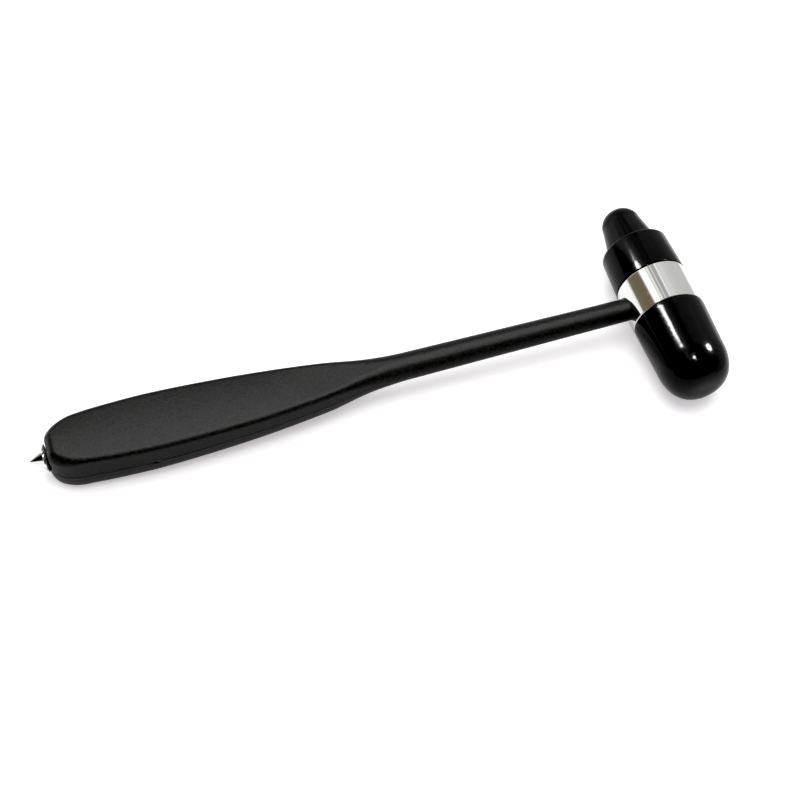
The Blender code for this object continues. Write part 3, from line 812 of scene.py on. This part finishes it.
def hammer_matrix():
    """The hammer's own frame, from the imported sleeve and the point's joint."""
    low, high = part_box("barrel")
    turn = next(joint for joint in frame["joints"] if joint["name"] == "tip_turn")
    x_axis = -Vector(turn["axis"]).normalized()
    y_axis = Vector((0.0, 1.0, 0.0))
    z_axis = x_axis.cross(y_axis)
    centre = Vector(((low.x + high.x) / 2, turn["pos_m"][1], (low.z + high.z) / 2))
    matrix = Matrix((x_axis, y_axis, z_axis)).transposed().to_4x4()
    matrix.translation = centre
    return matrix


def put(piece, matrix, material, body, node):
    """Places a piece on its CAD body in place of its CAD node."""
    piece.data.materials.clear()
    piece.data.materials.append(material)
    piece.matrix_world = matrix
    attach(piece, body)
    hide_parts(node)


def build_hammer():
    """Makes the nine pieces and places each one on its body."""
    matrix = hammer_matrix()
    across_head = (0.03, 1.0, 0.03)
    across_handle = (1.0, 0.03, 0.03)
    plastic = satin_plastic()
    rubber = gloss_rubber()
    chrome = turned_metal("head_chrome", (0.80, 0.80, 0.79), 0.06, across_head, 0.12 * MM, 0.0006 * MM)
    steel = turned_metal("head_steel", (0.50, 0.50, 0.49), 0.24, across_head, 0.1 * MM, 0.004 * MM)
    rod_steel = turned_metal("rod_steel", (0.50, 0.50, 0.49), 0.28, across_handle, 0.1 * MM, 0.004 * MM)
    brass = turned_metal("insert_brass", (0.62, 0.59, 0.51), 0.22, across_handle, 0.1 * MM, 0.004 * MM)
    tip_chrome = turned_metal("tip_chrome", (0.78, 0.78, 0.77), 0.08, across_handle, 0.08 * MM,
                              0.0008 * MM)
    put(make_handle(), matrix, plastic, "hammer", "handle")
    put(make_rod(), matrix, rod_steel, "hammer", "core_rod")
    put(make_sleeve(), matrix, chrome, "hammer", "barrel")
    put(make_head_bar(), matrix, steel, "hammer", "head_core")
    put(make_large_cap(), matrix, rubber, "large_cap", "large_mallet")
    put(make_small_cap(), matrix, rubber, "small_cap", "small_mallet")
    put(make_bush(), matrix, brass, "hammer", "tip_insert")
    put(make_washer(), matrix, washer_rubber(), "seal", "tip_seal")
    put(make_point(), matrix, tip_chrome, "point", "pointed_tip")


# ------------------------------------------------------------------- stage

CAMERA_PLACE = (-0.09213, -0.27935, 0.43992)
CAMERA_AZIMUTH = 20.1               # degrees from +Y towards +X
CAMERA_ELEVATION = 56.58            # degrees above the table
CAMERA_ROLL = 3.02
CAMERA_LENS = 67.5
LAMP_AIM = Vector((0.11, 0.0, 0.013))   # the head
LAMP_DISTANCE = 1.5
TABLE_HALF = 12.0                   # far enough that the table's edge lies near the horizon
ROOM_LIGHT = 0.75                   # strength of the even light on the table
SHADOW_LIFT = 0.32                  # light added to the table as the camera sees it
SHADOW_TINT = (1.0, 0.93, 0.98)     # its colour, which leaves the shadows faintly pink
CARD_BOTTOM = 4.0 * MM
CARD_TOP = 40.0 * MM
# how strongly the pale card glows: a painted reflection of a pale wall in the polished pieces
PALE_CARD_GLOW = 0.65
DARK_CARD = ((-0.20, 0.03), (-0.215, 0.0), (-0.215, -0.25))
PALE_CARD = ((0.16, 0.20), (0.18, 0.10), (0.18, -0.12))
BLACK_POINT = 0.011                 # darker than this is black in the picture
ROOM_IN_MIRRORS = 1.6               # strength of the room as polished pieces mirror it


def make_camera():
    """Camera above the table, on the side that the large mallet points to."""
    data = bpy.data.cameras.new("camera")
    camera = bpy.data.objects.new("camera", data)
    bpy.context.scene.collection.objects.link(camera)
    data.lens = CAMERA_LENS
    data.sensor_width = 36.0
    data.clip_start = 0.01
    turn = Euler((math.radians(90.0 - CAMERA_ELEVATION), 0.0, -math.radians(CAMERA_AZIMUTH)))
    camera.rotation_mode = "QUATERNION"
    camera.rotation_quaternion = (turn.to_matrix()
                                  @ Matrix.Rotation(math.radians(CAMERA_ROLL), 3, "Z")).to_quaternion()
    camera.location = CAMERA_PLACE
    bpy.context.scene.camera = camera


def make_floor():
    """Plain white table top; the camera sees it a little lifted, so its shadows stay faint."""
    shape = bmesh.new()
    bmesh.ops.create_grid(shape, x_segments=8, y_segments=8, size=TABLE_HALF)
    floor = finish_mesh(shape, "table_top")
    finish = Finish("table_white", (0.86, 0.86, 0.86), 0.55)
    finish.roughness(finish.spread(finish.noise(0.05, 3.0), 0.5, 0.62))
    path = finish.nodes.new("ShaderNodeLightPath")
    lift = finish.times(path.outputs["Is Camera Ray"], SHADOW_LIFT)
    finish.links.new(lift, finish.shader.inputs["Emission Strength"])
    finish.shader.inputs["Emission Color"].default_value = (*SHADOW_TINT, 1.0)
    floor.data.materials.append(finish.material)


def make_card(name, corners, tone):
    """Upright card seen only in reflections on the polished pieces, casting no shadow; corners are (x, y)
    along the table. It glows with tone as its emission strength: the pale card is a glowing sheet, a
    painted reflection of a pale wall, and the dark card, at 0, is black and only darkens what those
    pieces mirror.
    """
    shape = bmesh.new()
    rings = [[shape.verts.new((x, y, z)) for x, y in corners] for z in (CARD_BOTTOM, CARD_TOP)]
    for index in range(len(corners) - 1):
        shape.faces.new((rings[0][index], rings[0][index + 1], rings[1][index + 1], rings[1][index]))
    card = finish_mesh(shape, name)
    finish = Finish(name, (0.0, 0.0, 0.0), 1.0, Specular_IOR_Level=0.0, Emission_Strength=tone)
    finish.shader.inputs["Emission Color"].default_value = (1.0, 1.0, 1.0, 1.0)
    card.data.materials.append(finish.material)
    card.visible_camera = False
    card.visible_diffuse = False
    card.visible_shadow = False


def direction(azimuth, elevation):
    """Unit vector; azimuth in degrees from +Y towards +X, elevation above the table."""
    turn, rise = math.radians(azimuth), math.radians(elevation)
    return Vector((math.sin(turn) * math.cos(rise), math.cos(turn) * math.cos(rise), math.sin(rise)))


def lamp(name, azimuth, elevation, far, width, power, tall=None):
    """Soft round or oval lamp that looks at the hammer from a direction."""
    data = bpy.data.lights.new(name, "AREA")
    data.shape = "ELLIPSE"
    data.size = width
    data.size_y = tall or width
    data.energy = power
    light = bpy.data.objects.new(name, data)
    bpy.context.scene.collection.objects.link(light)
    light.location = LAMP_AIM + direction(azimuth, elevation) * far
    light.rotation_mode = "QUATERNION"
    light.rotation_quaternion = direction(azimuth, elevation).to_track_quat("Z", "Y")
    return light


def gloss_only(light, pieces):
    """The lamp shows only as a highlight on the named pieces."""
    light.visible_diffuse = False
    group = bpy.data.collections.new(light.name + "_pieces")
    for piece in pieces:
        group.objects.link(bpy.data.objects[piece])
    light.light_linking.receiver_collection = group


class Surroundings:
    """World nodes: even white light, and the room that polished pieces mirror."""

    def __init__(self):
        self.world = bpy.data.worlds.new("studio")
        bpy.context.scene.world = self.world
        self.world.use_nodes = True
        self.nodes = self.world.node_tree.nodes
        self.links = self.world.node_tree.links
        self.nodes.clear()
        place = self.nodes.new("ShaderNodeTexCoord")
        split = self.nodes.new("ShaderNodeSeparateXYZ")
        self.links.new(place.outputs["Generated"], split.inputs["Vector"])
        self.x, self.y, self.z = split.outputs

    def math(self, operation, first, second=None):
        """Result of a math node."""
        node = self.nodes.new("ShaderNodeMath")
        node.operation = operation
        self.links.new(first, node.inputs[0])
        if second is not None:
            self.links.new(second, node.inputs[1])
        return node.outputs["Value"]

    def ramp(self, value, stops):
        """Colour along a value in degrees, through (degrees, colour) stops."""
        first, last = stops[0][0], stops[-1][0]
        ranged = self.nodes.new("ShaderNodeMapRange")
        ranged.inputs["From Min"].default_value = math.radians(first)
        ranged.inputs["From Max"].default_value = math.radians(last)
        self.links.new(value, ranged.inputs["Value"])
        ramp = self.nodes.new("ShaderNodeValToRGB")
        elements = ramp.color_ramp.elements
        while len(elements) < len(stops):
            elements.new(0.5)
        for element, (degrees, colour) in zip(elements, stops):
            element.position = (degrees - first) / (last - first)
            element.color = (*colour, 1.0)
        self.links.new(ranged.outputs["Result"], ramp.inputs["Fac"])
        return ramp.outputs["Color"]

    def mix(self, factor, first, second, blend="MIX"):
        """Blend of two colours, each a socket or a plain colour."""
        mixer = self.nodes.new("ShaderNodeMix")
        mixer.data_type = "RGBA"
        mixer.blend_type = blend
        colours = [socket for socket in mixer.inputs if socket.type == "RGBA"]
        for socket, value in zip([mixer.inputs[0]] + colours, (factor, first, second)):
            if isinstance(value, float):
                socket.default_value = value
            elif isinstance(value, tuple):
                socket.default_value = (*value, 1.0)
            else:
                self.links.new(value, socket)
        return next(socket for socket in mixer.outputs if socket.type == "RGBA")

    def background(self, colour, strength):
        """Background shader with a plain or linked colour."""
        node = self.nodes.new("ShaderNodeBackground")
        node.inputs["Strength"].default_value = strength
        if isinstance(colour, tuple):
            node.inputs["Color"].default_value = (*colour, 1.0)
        else:
            self.links.new(colour, node.inputs["Color"])
        return node.outputs["Background"]


def grey(value):
    """Neutral colour."""
    return (value, value, value)


def make_world():
    """White room light; mirrors see a tan wall on the left and a pale one on the right."""
    room = Surroundings()
    azimuth = room.math("ARCTAN2", room.x, room.y)
    elevation = room.math("ARCSINE", room.z)
    tan_wall = room.ramp(elevation, [(-10.0, grey(0.60)), (1.0, (0.60, 0.60, 0.52)),
                                     (3.0, (0.130, 0.130, 0.095)), (12.0, (0.122, 0.112, 0.074)),
                                     (21.0, (0.116, 0.096, 0.061)), (33.0, (0.128, 0.097, 0.062)),
                                     (43.0, (0.150, 0.123, 0.097)), (50.0, (0.20, 0.18, 0.17)),
                                     (58.0, (0.32, 0.30, 0.30)), (60.0, grey(1.0)), (62.0, grey(1.0)),
                                     (72.0, grey(0.05)), (90.0, grey(0.02))])
    pale_wall = room.ramp(azimuth, [(-60.0, grey(1.0)), (-32.0, grey(1.0)), (-30.0, (0.48, 0.48, 0.43)),
                                    (-27.0, (0.50, 0.50, 0.45)), (-25.0, (0.66, 0.66, 0.61)),
                                    (-20.0, (0.64, 0.64, 0.58)), (-17.0, grey(0.29)), (-10.0, grey(0.29)),
                                    (-8.0, grey(0.56)), (-5.0, grey(0.56)), (-3.0, grey(0.29)),
                                    (11.0, grey(0.29)), (14.0, grey(0.33)), (16.0, grey(0.72)),
                                    (19.0, grey(0.68)), (22.0, grey(0.50)), (36.0, grey(0.51)),
                                    (44.0, (0.45, 0.45, 0.44)), (60.0, (0.405, 0.405, 0.385)),
                                    (110.0, grey(0.3))])
    overhead = room.ramp(elevation, [(60.0, grey(1.0)), (70.0, grey(0.12)), (90.0, grey(0.05))])
    walls = room.mix(room.ramp(azimuth, [(-48.5, grey(0.0)), (-45.0, grey(1.0))]), tan_wall,
                     room.mix(1.0, pale_wall, overhead, "MULTIPLY"))
    behind = room.ramp(room.math("ABSOLUTE", azimuth), [(95.0, grey(1.0)), (125.0, grey(0.35))])
    mirrored = room.background(room.mix(1.0, walls, behind, "MULTIPLY"), ROOM_IN_MIRRORS)
    plain = room.background(grey(1.0), ROOM_LIGHT)
    path = room.nodes.new("ShaderNodeLightPath")
    choice = room.nodes.new("ShaderNodeMixShader")
    room.links.new(path.outputs["Is Glossy Ray"], choice.inputs[0])
    room.links.new(plain, choice.inputs[1])
    room.links.new(mirrored, choice.inputs[2])
    output = room.nodes.new("ShaderNodeOutputWorld")
    room.links.new(choice.outputs[0], output.inputs["Surface"])


def make_lights():
    """Highlight lamps for the polished and satin pieces, and one soft overhead light."""
    polished = ["mallet_large_cap", "mallet_small_cap", "butt_point", "butt_washer"]
    gloss_only(lamp("key_lamp", -45.0, 46.5, LAMP_DISTANCE, 0.21, 38.0, 0.41), polished)
    gloss_only(lamp("right_lamp", 78.0, 44.0, LAMP_DISTANCE, 0.34, 78.0), polished)
    gloss_only(lamp("back_lamp", -127.0, 76.0, LAMP_DISTANCE, 0.19, 21.0), polished)
    gloss_only(lamp("satin_lamp", 0.0, 84.5, LAMP_DISTANCE, 1.8, 66.0), ["handle_moulding"])
    overhead = lamp("soft_overhead", 0.0, 78.0, 1.4, 1.6, 22.0)
    overhead.visible_glossy = False
    settings = bpy.context.scene.view_settings
    settings.view_transform = "Standard"
    settings.use_curve_mapping = True
    settings.curve_mapping.black_level = (BLACK_POINT, BLACK_POINT, BLACK_POINT)
    settings.curve_mapping.update()


build_hammer()
make_camera()
make_floor()
# Cards seen only in reflections: a black one, and a glowing pale one that paints a pale wall into them
make_card("dark_card", DARK_CARD, 0.0)
make_card("pale_card", PALE_CARD, PALE_CARD_GLOW)
make_world()
make_lights()
bpy.context.view_layer.update()
